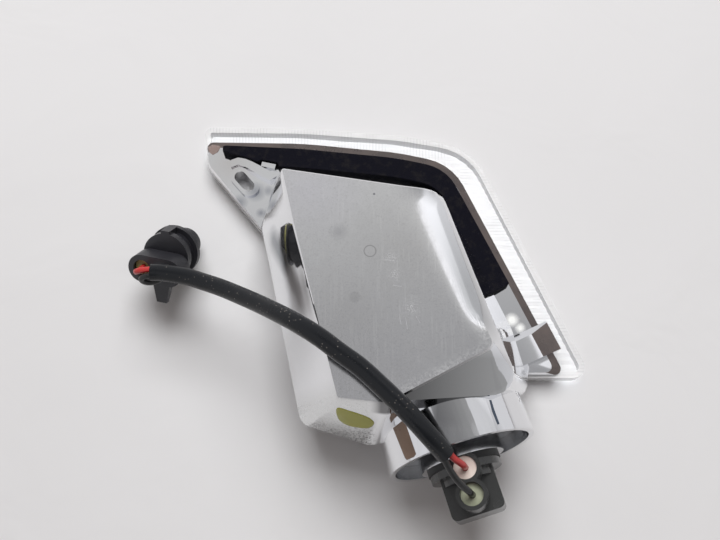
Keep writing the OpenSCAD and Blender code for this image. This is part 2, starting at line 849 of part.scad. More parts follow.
// How far the wire end lies below the axis of the flange
plug_drop = 2;
module connector_body() {
    color([0.07, 0.07, 0.08])
        at_plug()
            difference() {
                union() {
                    rod(plug_nose_r, -plug_nose_length, 0);
                    rod(plug_flange_r, 0, 1.8);
                    rod(plug_flange_r - 1.6, 1.8, ring_start);
                    rod(plug_flange_r - 0.5, ring_start, barrel_end);
                    translate([0, -plug_drop, 0]) {
                        stadium(plug_round_r - 0.6, plug_pitch, barrel_end, neck_end);
                        stadium(plug_round_r, plug_pitch, neck_end, plug_end);
                    }
                    translate([-1.8, plug_flange_r - 2.2, 1.8])
                        cube([2.8, 2.6, 5.8]);
                    translate([0.9, -plug_drop - plug_round_r + 0.4, 10.8])
                        rotate([90, 0, 0])
                            linear_extrude(7.6, scale = 0.55)
                                square([6, 3.2], center = true);
                }
                for (side = [-0.5, 0.5])
                    translate([side * plug_pitch, -plug_drop, 0])
                        rod(plug_entry_r, plug_end - 5, plug_end + over);
                for (side = [-1, 1])
                    translate([side * 2, 0, 0])
                        rod(0.9, -plug_nose_length - over, 3);
            }
}
module connector_seal() {
    color([0.75, 0.3, 0.1])
        at_plug()
            ring(plug_nose_r + 1, plug_nose_r, -2.2, 0);
}
module connector_wire_seals() {
    color([0.8, 0.8, 0.3])
        at_plug()
            for (side = [-0.5, 0.5])
                translate([side * plug_pitch, -plug_drop, 0])
                    ring(plug_entry_r - slip / 2, wire_d / 2 + slip / 2, plug_end - 5, plug_end - 1.6);
}
module connector_terminals() {
    color([0.85, 0.65, 0.35])
        at_plug()
            for (side = [-1, 1])
                translate([side * 2, 0, 0])
                    rod(0.8, -plug_nose_length + 1, 3);
}

lens();
housing();
gasket();
collar_ring();
holder_body();
holder_seal();
holder_sleeve();
holder_insulator();
holder_contact();
holder_spring();
holder_terminals();
holder_wire_seals();
bulb_glass();
bulb_cap();
bulb_pins();
bulb_stem();
bulb_filament();
bulb_base();
bulb_tip();
cable_sleeve();
wire_red();
wire_black();
connector_body();
connector_seal();
connector_wire_seals();
connector_terminals();
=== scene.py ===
"""Looks of a scooter's rear turn signal light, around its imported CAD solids."""
import math

import bmesh
import bpy
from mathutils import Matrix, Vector
from mathutils.bvhtree import BVHTree
from mathutils.geometry import delaunay_2d_cdt


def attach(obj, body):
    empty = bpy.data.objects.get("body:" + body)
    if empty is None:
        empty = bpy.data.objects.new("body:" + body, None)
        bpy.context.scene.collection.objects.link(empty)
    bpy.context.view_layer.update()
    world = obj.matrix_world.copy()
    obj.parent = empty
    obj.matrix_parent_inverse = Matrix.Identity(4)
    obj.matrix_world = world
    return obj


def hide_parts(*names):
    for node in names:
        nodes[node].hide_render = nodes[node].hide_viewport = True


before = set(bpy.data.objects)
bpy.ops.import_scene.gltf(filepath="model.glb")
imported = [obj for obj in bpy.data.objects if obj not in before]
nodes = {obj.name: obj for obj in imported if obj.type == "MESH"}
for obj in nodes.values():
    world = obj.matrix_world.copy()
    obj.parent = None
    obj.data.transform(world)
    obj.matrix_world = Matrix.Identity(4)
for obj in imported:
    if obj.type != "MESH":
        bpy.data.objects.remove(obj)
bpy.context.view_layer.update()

MM = 0.001
BACK = 47.0         # height of the flat back face, in millimetres
WHITE = (1.0, 1.0, 1.0)


# Camera
PICTURE = (720, 540)
FOCAL_PIXELS = 880.0
TILT = math.radians(18)

cam_data = bpy.data.cameras.new("camera")
cam_data.sensor_width = 36
cam_data.lens = 44
cam_data.clip_start = 0.01
camera = bpy.data.objects.new("camera", cam_data)
camera.location = (-0.0114086, -0.0911200, 0.272)
camera.rotation_euler = (TILT, 0, 0)
bpy.context.scene.collection.objects.link(camera)
bpy.context.scene.camera = camera


def link(obj):
    bpy.context.scene.collection.objects.link(obj)
    return obj


def seen_from(u, v):
    """Ray from the camera through a point of the picture, in pixels from its top left corner."""
    x = (u - PICTURE[0] / 2) / FOCAL_PIXELS
    y = (PICTURE[1] / 2 - v) / FOCAL_PIXELS
    return Vector((x, y * math.cos(TILT) + math.sin(TILT), y * math.sin(TILT) - math.cos(TILT)))


# Material helpers
class Nodes:
    """Short way to write a node tree."""

    SOCKETS = {
        "color": "Base Color", "metal": "Metallic", "rough": "Roughness", "ior": "IOR",
        "through": "Transmission Weight", "spec": "Specular IOR Level",
    }

    def __init__(self, name):
        self.mat = bpy.data.materials.new(name)
        self.mat.use_nodes = True
        self.tree = self.mat.node_tree
        self.bsdf = self.tree.nodes["Principled BSDF"]
        self.out = self.tree.nodes["Material Output"]
        self._coords = None

    def new(self, kind, **values):
        node = self.tree.nodes.new(kind)
        for key, value in values.items():
            setattr(node, key, value)
        return node

    def join(self, a, b):
        self.tree.links.new(a, b)

    def put(self, socket, value):
        """Link an output to a socket, or set the socket to a plain value."""
        if hasattr(value, "is_output"):
            self.join(value, socket)
            return
        if isinstance(value, tuple) and len(value) == 3:
            value = (*value, 1.0)
        socket.default_value = value

    def place(self):
        if self._coords is None:
            self._coords = self.new("ShaderNodeTexCoord").outputs["Object"]
        return self._coords

    def turned(self, factors, degrees):
        """Place turned about Z and stretched, for grain that runs one way."""
        node = self.new("ShaderNodeMapping")
        self.join(self.place(), node.inputs["Vector"])
        node.inputs["Rotation"].default_value = (0, 0, math.radians(degrees))
        node.inputs["Scale"].default_value = factors
        return node.outputs["Vector"]

    def noise(self, scale, detail, rough, at=None, warp=0.0):
        node = self.new("ShaderNodeTexNoise")
        self.join(at if at is not None else self.place(), node.inputs["Vector"])
        node.inputs["Scale"].default_value = scale
        node.inputs["Detail"].default_value = detail
        node.inputs["Roughness"].default_value = rough
        node.inputs["Distortion"].default_value = warp
        return node.outputs["Fac"]

    def cells(self, scale):
        node = self.new("ShaderNodeTexVoronoi", feature="F1")
        self.join(self.place(), node.inputs["Vector"])
        node.inputs["Scale"].default_value = scale
        return node.outputs["Distance"]

    def ramp(self, value, low, high, a=0.0, b=1.0):
        node = self.new("ShaderNodeMapRange", clamp=True)
        self.put(node.inputs["Value"], value)
        node.inputs["From Min"].default_value = low
        node.inputs["From Max"].default_value = high
        node.inputs["To Min"].default_value = a
        node.inputs["To Max"].default_value = b
        return node.outputs["Result"]

    def math(self, kind, a, b=0.0):
        node = self.new("ShaderNodeMath", operation=kind)
        self.put(node.inputs[0], a)
        self.put(node.inputs[1], b)
        return node.outputs[0]

    def fold(self, kind, values):
        out = values[0]
        for value in values[1:]:
            out = self.math(kind, out, value)
        return out

    def most(self, *values):
        return self.fold("MAXIMUM", values)

    def times(self, *values):
        return self.fold("MULTIPLY", values)

    def total(self, *values):
        return self.fold("ADD", values)

    def less(self, a, b):
        return self.math("SUBTRACT", a, b)

    def blend(self, fac, a, b):
        node = self.new("ShaderNodeMix", data_type="RGBA")
        for socket, value in zip((node.inputs[0], node.inputs[6], node.inputs[7]), (fac, a, b)):
            self.put(socket, value)
        return node.outputs[2]

    def layered(self, color, layers):
        """Colours laid over one another, each by its mask and its strength."""
        for mask, strength, over in layers:
            color = self.blend(self.times(mask, strength), color, over)
        return color

    def axis(self, name):
        node = self.new("ShaderNodeSeparateXYZ")
        self.join(self.place(), node.inputs[0])
        return node.outputs[name]

    def along(self, name, low, high):
        """0 at one coordinate and 1 at another, in metres."""
        return self.ramp(self.axis(name), low, high)

    def up(self):
        """How far the true surface faces up."""
        geo = self.new("ShaderNodeNewGeometry")
        node = self.new("ShaderNodeSeparateXYZ")
        self.join(geo.outputs["True Normal"], node.inputs[0])
        return node.outputs["Z"]

    def distance(self, centre):
        """Distance in metres from a point in millimetres."""
        node = self.new("ShaderNodeVectorMath", operation="DISTANCE")
        self.join(self.place(), node.inputs[0])
        node.inputs[1].default_value = [c * MM for c in centre]
        return node.outputs["Value"]

    def spot(self, centre, radius, soft):
        """1 inside a ball around a point in millimetres, 0 outside."""
        return self.ramp(self.distance(centre), (radius + soft) * MM, (radius - soft) * MM)

    def spots(self, *places):
        """The strongest of several spots, each given by x, y, z, radius and softness."""
        return self.most(*[self.spot(place[:3], *place[3:]) for place in places])

    def ring(self, centre, radius, width):
        off = self.math("ABSOLUTE", self.less(self.distance(centre), radius * MM))
        return self.ramp(off, width * MM, 0.3 * width * MM)

    def stroke(self, a, b, width):
        """1 along a straight line between two points in millimetres."""
        start = Vector(a) * MM
        along = Vector(b) * MM - start
        reach = along.length
        off = self.new("ShaderNodeVectorMath", operation="SUBTRACT")
        self.join(self.place(), off.inputs[0])
        off.inputs[1].default_value = start
        share = self.new("ShaderNodeVectorMath", operation="DOT_PRODUCT")
        self.join(off.outputs["Vector"], share.inputs[0])
        share.inputs[1].default_value = along / reach
        held = self.ramp(share.outputs["Value"], 0.0, reach, 0.0, reach)
        near = self.new("ShaderNodeVectorMath", operation="SCALE")
        near.inputs[0].default_value = along / reach
        self.join(held, near.inputs["Scale"])
        gap = self.new("ShaderNodeVectorMath", operation="DISTANCE")
        self.join(off.outputs["Vector"], gap.inputs[0])
        self.join(near.outputs["Vector"], gap.inputs[1])
        return self.ramp(gap.outputs["Value"], width * MM, 0.2 * width * MM)

    def strokes_on_back(self, *lines):
        """The strongest of several strokes on the back face: x and y of both ends, and a width."""
        return self.most(*[
            self.stroke((line[0], line[1], BACK), (line[2], line[3], BACK), line[4]) for line in lines
        ])

    def bump(self, height, strength, distance, normal=None):
        node = self.new("ShaderNodeBump")
        if normal is not None:
            self.join(normal, node.inputs["Normal"])
        node.inputs["Strength"].default_value = strength
        node.inputs["Distance"].default_value = distance
        self.put(node.inputs["Height"], height)
        self.join(node.outputs["Normal"], self.bsdf.inputs["Normal"])

    def set(self, **values):
        for key, value in values.items():
            self.put(self.bsdf.inputs[self.SOCKETS[key]], value)


def metallised():
    """Bright coat of the housing, with the wear of its faces, painted shade and painted reflections on them,
    and a painted glint.
    """
    m = Nodes("metallised")
    flat = m.times(m.ramp(m.up(), 0.96, 0.995), m.along("Z", 0.0462, 0.0466))
    walls = m.less(1.0, flat)
    cloud = m.noise(34, 3, 0.5)

    # Wear of the flat back face
    worn = m.ramp(m.total(m.noise(260, 6, 0.72, warp=0.8), m.times(cloud, 0.5)), 0.62, 0.98)
    rubbed = m.spots((2, -36, BACK, 10, 8), (-2, -18, BACK, 5, 5), (8, -18, BACK, 6, 7))
    brush = m.noise(1500, 2, 0.5, at=m.turned((1.0, 0.05, 1.0), 8))
    cross = m.noise(1100, 2, 0.5, at=m.turned((1.0, 0.07, 1.0), -32))
    hair = m.most(m.ramp(brush, 0.58, 0.75), m.ramp(cross, 0.62, 0.78))
    hair = m.times(hair, m.total(m.times(rubbed, 0.65), 0.35))
    scratches = m.strokes_on_back(
        (-4.2, -13.6, -2.4, -14.2, 0.16),
        (-4.6, -15.0, -2.2, -15.2, 0.16),
        (-3.0, -18.6, -1.8, -20.4, 0.12),
        (-2.4, -22.2, -0.4, -22.6, 0.16),
        (-1.0, -30.4, -0.6, -33.0, 0.10),
        (0.6, -31.2, 1.1, -34.4, 0.10),
        (3.4, -30.8, 4.4, -32.6, 0.10),
    )
    chips = m.spots((-3, -14.5, BACK, 1.2, 1.6), (-2.2, -19, BACK, 1.2, 1.8), (2.4, -28.4, BACK, 1.6, 2.6))
    chips = m.times(chips, m.ramp(m.noise(2600, 3, 0.7), 0.5, 0.6))
    ring = m.ring((-8.7, -12.6, BACK), 1.6, 0.26)
    marks = m.most(ring, m.times(m.spot((-12.7, -25.6, BACK), 1.5, 0.3), 0.4))
    dots = m.spot((-7.5, 4.1, BACK), 0.3, 0.12)
    dots = m.most(dots, m.times(m.spot((-17.4, -7.1, BACK), 1.6, 1.4), 0.3))
    grain = m.ramp(m.noise(2200, 2, 0.6), 0.52, 0.72)
    foot_edge = m.strokes_on_back((21, -33, 23.2, -38.5, 3.2), (23.2, -38.5, -4, -53, 2.6))
    foot_edge = m.times(foot_edge, m.ramp(m.noise(1500, 3, 0.7), 0.46, 0.58))
    middle = m.spots((0, -12, BACK, 9, 12), (-14, -28, BACK, 5, 12))
    violet = m.spot((-25, 6, BACK), 8, 9)
    face = m.layered((0.82, 0.82, 0.83), (
        (worn, 0.25, (0.66, 0.655, 0.65)),
        (middle, 0.35, (0.60, 0.59, 0.575)),
        (violet, 0.4, (0.83, 0.81, 0.90)),
        (hair, 0.6, WHITE),
        (chips, 0.9, WHITE),
        (grain, 0.3, (0.55, 0.55, 0.55)),
        (foot_edge, 1.0, WHITE),
        (marks, 0.5, (0.36, 0.36, 0.36)),
        (dots, 0.7, (0.10, 0.11, 0.14)),
    ))

    # Painted reflections and painted shade on the ear, the walls and the shoulder, a painted glint by the bar,
    # and the grain of the collar and the foot of the tub
    # painted dark reflections: dark bluish spots around the ear's screw boss and rib
    ear_dark_reflection = m.spots(
        (-45.2, 21.2, 8.2, 1.6, 2.2), (-50.2, 17.7, 8.2, 1.0, 2.0),
        (-43.3, 13.9, 8.2, 0.7, 1.2), (-41.2, 21.6, 9, 0.9, 1.4),
    )
    # painted reflection: a brownish tint on the ear's upper left
    ear_warm_reflection = m.spot((-53.4, 31.5, 8.2), 4, 6)
    # painted dark reflection on the band between the back face and the collar
    under_face_dark_reflection = m.times(
        m.along("Z", 0.0415, 0.0425), walls, m.along("Y", -0.0385, -0.042),
        m.along("X", -0.009, -0.006), m.along("X", 0.036, 0.0),
    )
    # painted reflection of the connector, as a dark stroke on the left facet
    left_facet_connector_reflection = m.stroke((-36.6, -4.0, 31), (-33.0, -11.5, 35.5), 5.2)
    shoulder = [(9, 4, 45), (20, -32, 45)]
    # painted shade on the walls below the rounded shoulder
    rolled_painted_shade = m.times(
        m.stroke(*shoulder, 8.0), m.along("Y", 0.0, -0.022), m.along("Z", 0.040, 0.0425), walls
    )
    collar = m.times(m.along("Y", -0.0575, -0.060), m.along("X", 0.0, 0.004))
    streak = m.ramp(m.noise(420, 3, 0.6, at=m.turned((1.0, 0.06, 0.3), 16)), 0.42, 0.66)
    low = m.times(m.along("Y", -0.047, -0.052), m.along("X", -0.0065, -0.0095), walls)
    foot = m.times(low, m.along("Y", -0.0565, -0.0605))
    sand = m.ramp(m.noise(1700, 2, 0.6), 0.50, 0.60)
    # painted highlight: white, barely metallic patches by the bar's foot stand in for light reflected there
    painted_glint = m.spots((35.6, -21.7, 8.2, 1.7, 0.9), (38.0, -24.2, 8.2, 1.2, 0.8), (41.1, -33.0, 8.2, 0.8, 0.6))
    color = m.layered(m.blend(flat, (0.83, 0.835, 0.85), face), (
        (ear_warm_reflection, 0.5, (0.66, 0.60, 0.57)),
        (ear_dark_reflection, 0.8, (0.20, 0.22, 0.28)),
        (under_face_dark_reflection, 0.85, (0.10, 0.098, 0.10)),
        (left_facet_connector_reflection, 0.75, (0.07, 0.085, 0.11)),
        (rolled_painted_shade, 0.55, (0.30, 0.31, 0.31)),
        (m.times(collar, streak), 0.35, (0.60, 0.60, 0.61)),
        (low, 0.5, (0.62, 0.625, 0.61)),
        (m.times(foot, sand), 1.0, (0.10, 0.10, 0.10)),
        (painted_glint, 1.0, (0.97, 0.98, 0.96)),
    ))
    rough = m.total(
        m.ramp(cloud, 0.35, 0.7, 0.035, 0.075),
        m.times(collar, 0.10),
        m.times(flat, m.ramp(worn, 0.0, 1.0, 0.06, 0.17)),
        m.times(m.stroke(*shoulder, 7.0), walls, 0.10),
        m.times(flat, m.most(scratches, chips), 0.25),
        m.times(low, sand, 0.25),
    )
    m.set(color=color, metal=m.less(1.0, m.times(painted_glint, 0.9)), rough=rough)
    relief = m.total(m.times(m.noise(60, 2, 0.4), 0.5), m.times(flat, worn, 0.12))
    m.bump(m.less(relief, m.times(flat, scratches, 0.3)), 0.05, 0.0006)
    return m.mat


def brown_reflection_band():
    """The strip along the flange and the top of the bar, dark brown and less shiny: a painted brown
    reflection, in blotchy tones.
    """
    m = Nodes("brown_reflection_band")
    grime = m.noise(90, 4, 0.6)
    m.set(color=m.blend(m.ramp(grime, 0.3, 0.75), (0.10, 0.088, 0.086), (0.19, 0.155, 0.14)),
          metal=0.8, rough=m.ramp(grime, 0.3, 0.7, 0.22, 0.34))
    m.bump(m.noise(500, 3, 0.6), 0.06, 0.0003)
    return m.mat


def plastic(name, dark, light, rough, grain=900, bump=0.15, spec=0.5):
    m = Nodes(name)
    cloud = m.noise(70, 4, 0.6)
    fine = m.noise(grain, 3, 0.6)
    m.set(color=m.blend(m.ramp(cloud, 0.3, 0.75), dark, light),
          rough=m.ramp(m.noise(160, 3, 0.6), 0.3, 0.7, rough - 0.06, rough + 0.08), spec=spec)
    m.bump(fine, bump, 0.0002)
    return m.mat


def foam():
    m = Nodes("foam")
    pores = m.cells(2600)
    dust = m.times(m.ramp(m.noise(420, 5, 0.7), 0.5, 0.75), 0.5)
    m.set(color=m.blend(dust, (0.006, 0.006, 0.010), (0.03, 0.027, 0.025)), rough=0.85, spec=0.12)
    m.bump(m.ramp(pores, 0.0, 0.6), 0.5, 0.0003)
    return m.mat


def clear_lens():
    """Clear plastic: milky along the rim seen from behind, open seen from the front."""
    m = Nodes("clear_lens")

    # Fine ripple across the rim, which turns the corner with it
    x = m.axis("X")
    y = m.axis("Y")
    turned = m.ramp(x, 0.018, 0.022)
    across = m.total(m.times(x, m.less(1.0, turned)), m.times(y, turned))
    wave = m.math("SINE", m.times(across, 6000.0))
    lines = m.times(m.ramp(wave, 0.55, 0.95), m.ramp(m.noise(180, 3, 0.6), 0.42, 0.6))

    # painted shade: steep walls of the rim are greyed a little
    steep_painted_shade = m.ramp(m.up(), 0.75, 0.3)
    front = m.ramp(m.up(), -0.5, -0.9)
    color = m.layered((0.80, 0.80, 0.805), (
        (lines, 0.6, (0.55, 0.55, 0.56)),
        (steep_painted_shade, 0.12, (0.6, 0.6, 0.61)),
        (front, 1.0, (0.95, 0.96, 0.97)),
    ))
    m.set(color=color, rough=0.12, ior=1.49, through=m.ramp(front, 0.0, 1.0, 0.28, 0.92))

    # Upward faces mirror the room as one level face
    true = m.new("ShaderNodeNewGeometry")
    lean = m.new("ShaderNodeMix", data_type="VECTOR")
    m.join(m.times(m.ramp(m.up(), 0.4, 0.7), 0.85), lean.inputs[0])
    m.join(true.outputs["Normal"], lean.inputs[4])
    lean.inputs[5].default_value = (0, 0, 1)
    m.bump(m.total(m.noise(90, 2, 0.5), m.times(lines, 0.12)), 0.05, 0.0004, lean.outputs[1])

    # Its shadow on the table is a pale one
    pale = m.new("ShaderNodeBsdfTransparent")
    pale.inputs["Color"].default_value = (0.94, 0.95, 0.96, 1)
    path = m.new("ShaderNodeLightPath")
    mix = m.new("ShaderNodeMixShader")
    m.join(path.outputs["Is Shadow Ray"], mix.inputs["Fac"])
    m.join(m.bsdf.outputs["BSDF"], mix.inputs[1])
    m.join(pale.outputs["BSDF"], mix.inputs[2])
    m.join(mix.outputs["Shader"], m.out.inputs["Surface"])
    return m.mat


def glass(name, color):
    m = Nodes(name)
    m.set(color=color, rough=0.02, ior=1.5, through=1.0)
    m.bump(m.noise(120, 2, 0.5), 0.04, 0.0003)
    return m.mat


def plated(name, color, rough):
    m = Nodes(name)
    dull = tuple(c * 0.82 for c in color)
    m.set(color=m.blend(m.ramp(m.noise(300, 4, 0.6), 0.35, 0.7), color, dull),
          metal=1.0, rough=m.ramp(m.noise(150, 3, 0.6), 0.3, 0.7, rough, rough + 0.1))
    m.bump(m.noise(700, 3, 0.6), 0.05, 0.0002)
    return m.mat


def seal_silicone():
    """Pale rubber of the two seals in the bulb holder, each with its own tint; the lower one is also painted
    darker, as painted shade deep in the holder.
    """
    m = Nodes("cream_silicone")
    # the lower seal's darker colours are painted shade
    upper_vs_shaded_lower = m.along("Y", -0.0735, -0.0715)
    tint = m.blend(upper_vs_shaded_lower, (0.30, 0.32, 0.22), (0.76, 0.62, 0.56))
    pale = m.blend(upper_vs_shaded_lower, (0.46, 0.48, 0.36), (0.82, 0.74, 0.67))
    m.set(color=m.blend(m.ramp(m.noise(300, 4, 0.6), 0.35, 0.75), tint, pale), rough=0.45)
    m.bump(m.noise(700, 3, 0.6), 0.1, 0.0002)
    return m.mat


def soft_sleeve():
    """Soft black tube with specks of dust."""
    m = Nodes("soft_sleeve")
    dust = m.times(m.ramp(m.cells(950), 0.20, 0.08), m.ramp(m.noise(300, 2, 0.5), 0.50, 0.56))
    m.set(color=m.blend(m.times(dust, 0.45), (0.004, 0.005, 0.007), (0.42, 0.38, 0.34)),
          rough=m.ramp(m.noise(120, 3, 0.6), 0.3, 0.7, 0.22, 0.34), spec=0.34)
    m.bump(m.noise(600, 4, 0.6), 0.12, 0.0002)
    return m.mat


MAT = {
    "metal": metallised(),
    "band": brown_reflection_band(),
    "foam": foam(),
    "black": plastic("black_plastic", (0.020, 0.021, 0.021), (0.036, 0.037, 0.036), 0.22, spec=0.7),
    "ring": plastic("dark_ring", (0.005, 0.007, 0.010), (0.010, 0.013, 0.017), 0.34, spec=0.3),
    "plug": plastic("plug_plastic", (0.014, 0.014, 0.017), (0.026, 0.026, 0.031), 0.38),
    "rubber": plastic("black_rubber", (0.010, 0.010, 0.010), (0.02, 0.02, 0.02), 0.6),
    "lens": clear_lens(),
    "plated": plated("plated_steel", (0.75, 0.75, 0.73), 0.18),
    "contact": plated("contact_brass", (0.8, 0.55, 0.25), 0.25),
    "board": plastic("pressed_board", (0.35, 0.22, 0.11), (0.5, 0.34, 0.18), 0.7),
    "cream": seal_silicone(),
    "yellow": plastic("yellow_silicone", (0.34, 0.33, 0.10), (0.46, 0.43, 0.18), 0.5),
    "amber": glass("amber_glass", (0.95, 0.45, 0.08)),
    "clear": glass("clear_glass", (0.92, 0.97, 0.97)),
    "ceramic": plastic("black_ceramic", (0.012, 0.012, 0.014), (0.02, 0.02, 0.022), 0.2),
    "sleeve": soft_sleeve(),
    "red": plastic("red_insulation", (0.46, 0.022, 0.022), (0.56, 0.045, 0.042), 0.32, 500, 0.05),
    "dark_line_reflection": plastic("painted_dark_line_reflection", (0.03, 0.045, 0.07), (0.06, 0.08, 0.11), 0.25, 700, 0.1),
    "tint": plastic("pinkish_brown", (0.20, 0.15, 0.135), (0.30, 0.22, 0.20), 0.3, 700, 0.1),
    "painted_tan": plastic("painted_tan_reflection", (0.20, 0.13, 0.09), (0.30, 0.20, 0.14), 0.3, 700, 0.1),
    "paint": plastic("marking_paint", (0.40, 0.40, 0.055), (0.49, 0.48, 0.08), 0.35, 600, 0.1),
    "wire": plastic("black_insulation", (0.010, 0.010, 0.010), (0.018, 0.018, 0.018), 0.3, 500, 0.05),
}


# Rounded shoulder of the housing, in millimetres
SHOULDER_START = Vector((11, 5.2, 0))
SHOULDER_OUT = Vector((0.961, 0.276, 0))
SHOULDER_ALONG = Vector((0.276, -0.961, 0))
SHOULDER_LENGTH = 43
SHOULDER_REACH = 15.0
SHOULDER_FOOT = 42.0
SHOULDER_FADE = (5, 9, 9)


def round_shoulder(bm):
    """Large round between the back face and the wall over the locating bar."""
    edge = SHOULDER_START * MM
    out, along = SHOULDER_OUT, SHOULDER_ALONG
    before, fade_in, fade_out = SHOULDER_FADE
    drop = BACK - SHOULDER_FOOT

    def outer_faces():
        return [
            f for f in bm.faces
            if f.calc_center_median().z > SHOULDER_FOOT * MM and f.normal.z > 0.1
            and min((edge - v.co).dot(out) for v in f.verts) < SHOULDER_REACH * MM
        ]

    def cut(at, normal):
        faces = outer_faces()
        parts = {e for f in faces for e in (*f.verts, *f.edges)} | set(faces)
        bmesh.ops.bisect_plane(bm, geom=list(parts), dist=1e-7, plane_co=at, plane_no=normal)

    for k in range(1, 22):
        cut(edge - out * 0.7 * k * MM, out)
    for k in range(1, 10):
        cut(Vector((0, 0, (BACK - 0.5 * k) * MM)), Vector((0, 0, 1)))
    for k in range(-3, 22):
        cut(edge + along * 2 * k * MM, along)

    for v in {v for f in outer_faces() for v in f.verts}:
        deep = (edge - v.co).dot(out) / MM
        far = (v.co - edge).dot(along) / MM
        wide = SHOULDER_REACH - 0.24 * max(0.0, far)
        if deep > wide or v.co.z < (SHOULDER_FOOT + 0.01) * MM or not -before < far < SHOULDER_LENGTH:
            continue
        step = 1.15 + 0.053 * far
        slope = math.hypot(step, drop)
        if deep > 0.3:
            share = (wide - deep) / (wide + slope)
        else:
            share = (wide + (BACK - v.co.z / MM) / drop * slope) / (wide + slope)
        share = max(0.0, min(1.0, share))
        flat_part = (1 - share) ** 2
        wall_part = share ** 2
        weight = max(0.0, min(1.0, (far + before) / fade_in, (SHOULDER_LENGTH - far) / fade_out))
        weight = weight * weight * (3 - 2 * weight)
        new_deep = wide * flat_part - step * wall_part
        new_z = BACK - drop * wall_part
        v.co += out * (deep - new_deep) * weight * MM
        v.co.z += (new_z * MM - v.co.z) * weight


def dress(name, node, mat, bevel, smooth=28, shape=None, second=None, area_normals=False):
    """A copy of a CAD node with joined corners, smooth rounds and softened edges."""
    mesh = nodes[node].data.copy()
    mesh.name = name
    bm = bmesh.new()
    bm.from_mesh(mesh)
    bmesh.ops.remove_doubles(bm, verts=bm.verts, dist=2e-6)
    bmesh.ops.dissolve_degenerate(bm, edges=bm.edges, dist=1e-6)
    bmesh.ops.dissolve_limit(
        bm, angle_limit=math.radians(0.6), verts=bm.verts, edges=bm.edges, delimit={"NORMAL"}
    )
    bm.normal_update()
    if shape:
        shape(bm)
        bm.normal_update()
    bm.to_mesh(mesh)
    bm.free()
    for key in ("custom_normal", "sharp_face", "sharp_edge"):
        found = mesh.attributes.get(key)
        if found:
            mesh.attributes.remove(found)
    mesh.shade_smooth()
    mesh.set_sharp_from_angle(angle=math.radians(smooth))
    mesh.materials.clear()
    mesh.materials.append(mat)
    if second:
        takes, other = second
        mesh.materials.append(other)
        for face in mesh.polygons:
            face.material_index = int(takes(face.center / MM, face.normal))
    obj = link(bpy.data.objects.new(name, mesh))
    soft = obj.modifiers.new("edge", "BEVEL")
    soft.width = bevel * MM
    soft.segments = 2
    soft.limit_method = "ANGLE"
    soft.angle_limit = math.radians(32)
    soft.harden_normals = not area_normals
    if area_normals:
        even = obj.modifiers.new("normals", "WEIGHTED_NORMAL")
        even.mode = "FACE_AREA"
        even.weight = 70
        even.keep_sharp = True
    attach(obj, "root")
    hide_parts(node)
    return obj


# Cable and wires: points in millimetres, as in the CAD source
SLEEVE_D = 5.3
WIRE_D = 1.8
SLEEVE_TRIM = 0.16          # keeps the round tube inside the box of the CAD's flat-sided one
WIRE_OFFSET = 0.54          # from the middle of the sleeve, in wire diameters
ROUTE = [
    (-72.7, -12.1, 26.4), (-70.1, -12.1, 26.4), (-66, -12.7, 26.6), (-61.7, -13.6, 27),
    (-56.9, -15.4, 28), (-51.5, -17.8, 30.2), (-45.5, -21.1, 33.6), (-39.2, -25, 38.2),
    (-33.1, -29.2, 43.4), (-27.2, -33.4, 47.8), (-21.8, -37.3, 49.9), (-16.6, -41.3, 50.1),
    (-11.3, -45.2, 50.1), (-6.2, -49.9, 50.1), (-1.2, -54.8, 50.1), (3.5, -59.7, 49.2),
    (7.4, -63.7, 47.2), (10.4, -66.6, 44.8),
]
RED_START = [
    (-76.4, -5.6, 15.3), (-77.2, -7.4, 17.5), (-77.8, -9.1, 19.7), (-78, -10.3, 21.9),
    (-77.7, -11, 23.9), (-76.8, -11.3, 25.4), (-75.2, -11.3, 26.2),
]
RED_FINISH = [
    (12.6, -67.4, 43.2), (14.2, -68.2, 41.2), (15.3, -68.7, 39.4), (15.9, -68.9, 37.2),
    (16.2, -68.9, 35.7), (16.8, -69.1, 32.8),
]
BLACK_START = [
    (-68.1, -7.6, 16.5), (-68.9, -9.4, 18.7), (-69.5, -11, 20.6), (-70.4, -12.4, 21.9),
    (-72, -13.6, 22.6), (-73.6, -14.1, 23), (-75, -14.1, 23.8), (-75.6, -13.8, 25), (-74.8, -13.4, 26.2),
]
BLACK_FINISH = [
    (11, -69.4, 43.4), (12.6, -71.8, 42.4), (14.6, -73.9, 41), (16.4, -75.2, 39.4),
    (17.2, -75.7, 37.8), (17.7, -75.8, 36), (18.3, -76, 33.6),
]


def curve(name, points, diameter, mat):
    data = bpy.data.curves.new(name, "CURVE")
    data.dimensions = "3D"
    data.bevel_depth = diameter / 2 * MM
    data.bevel_resolution = 5
    data.use_fill_caps = True
    data.resolution_u = 6
    spline = data.splines.new("BEZIER")
    spline.bezier_points.add(len(points) - 1)
    for point, p in zip(spline.bezier_points, points):
        point.co = [c * MM for c in p]
        point.handle_left_type = point.handle_right_type = "AUTO"
    data.materials.append(mat)
    return link(bpy.data.objects.new(name, data))


def wire_path(start, side, finish):
    """Path of a wire: its own start and finish, and the sleeve's route moved to one side."""
    line = [Vector(p) for p in ROUTE]
    inner = []
    for i, p in enumerate(line):
        ahead = (line[min(i + 1, len(line) - 1)] - line[max(i - 1, 0)]).normalized()
        inner.append(p + side * WIRE_OFFSET * WIRE_D * ahead.cross(Vector((0, 0, 1))).normalized())
    return [*start, *inner, *finish]


sleeve = curve("sleeve", ROUTE, SLEEVE_D - SLEEVE_TRIM, MAT["sleeve"])
red = curve("red_wire", wire_path(RED_START, -1, RED_FINISH), WIRE_D, MAT["red"])
black = curve("black_wire", wire_path(BLACK_START, 1, BLACK_FINISH), WIRE_D, MAT["wire"])
for piece, node in ((sleeve, "cable_sleeve"), (red, "wire_red"), (black, "wire_black")):
    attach(piece, "root")
    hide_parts(node)


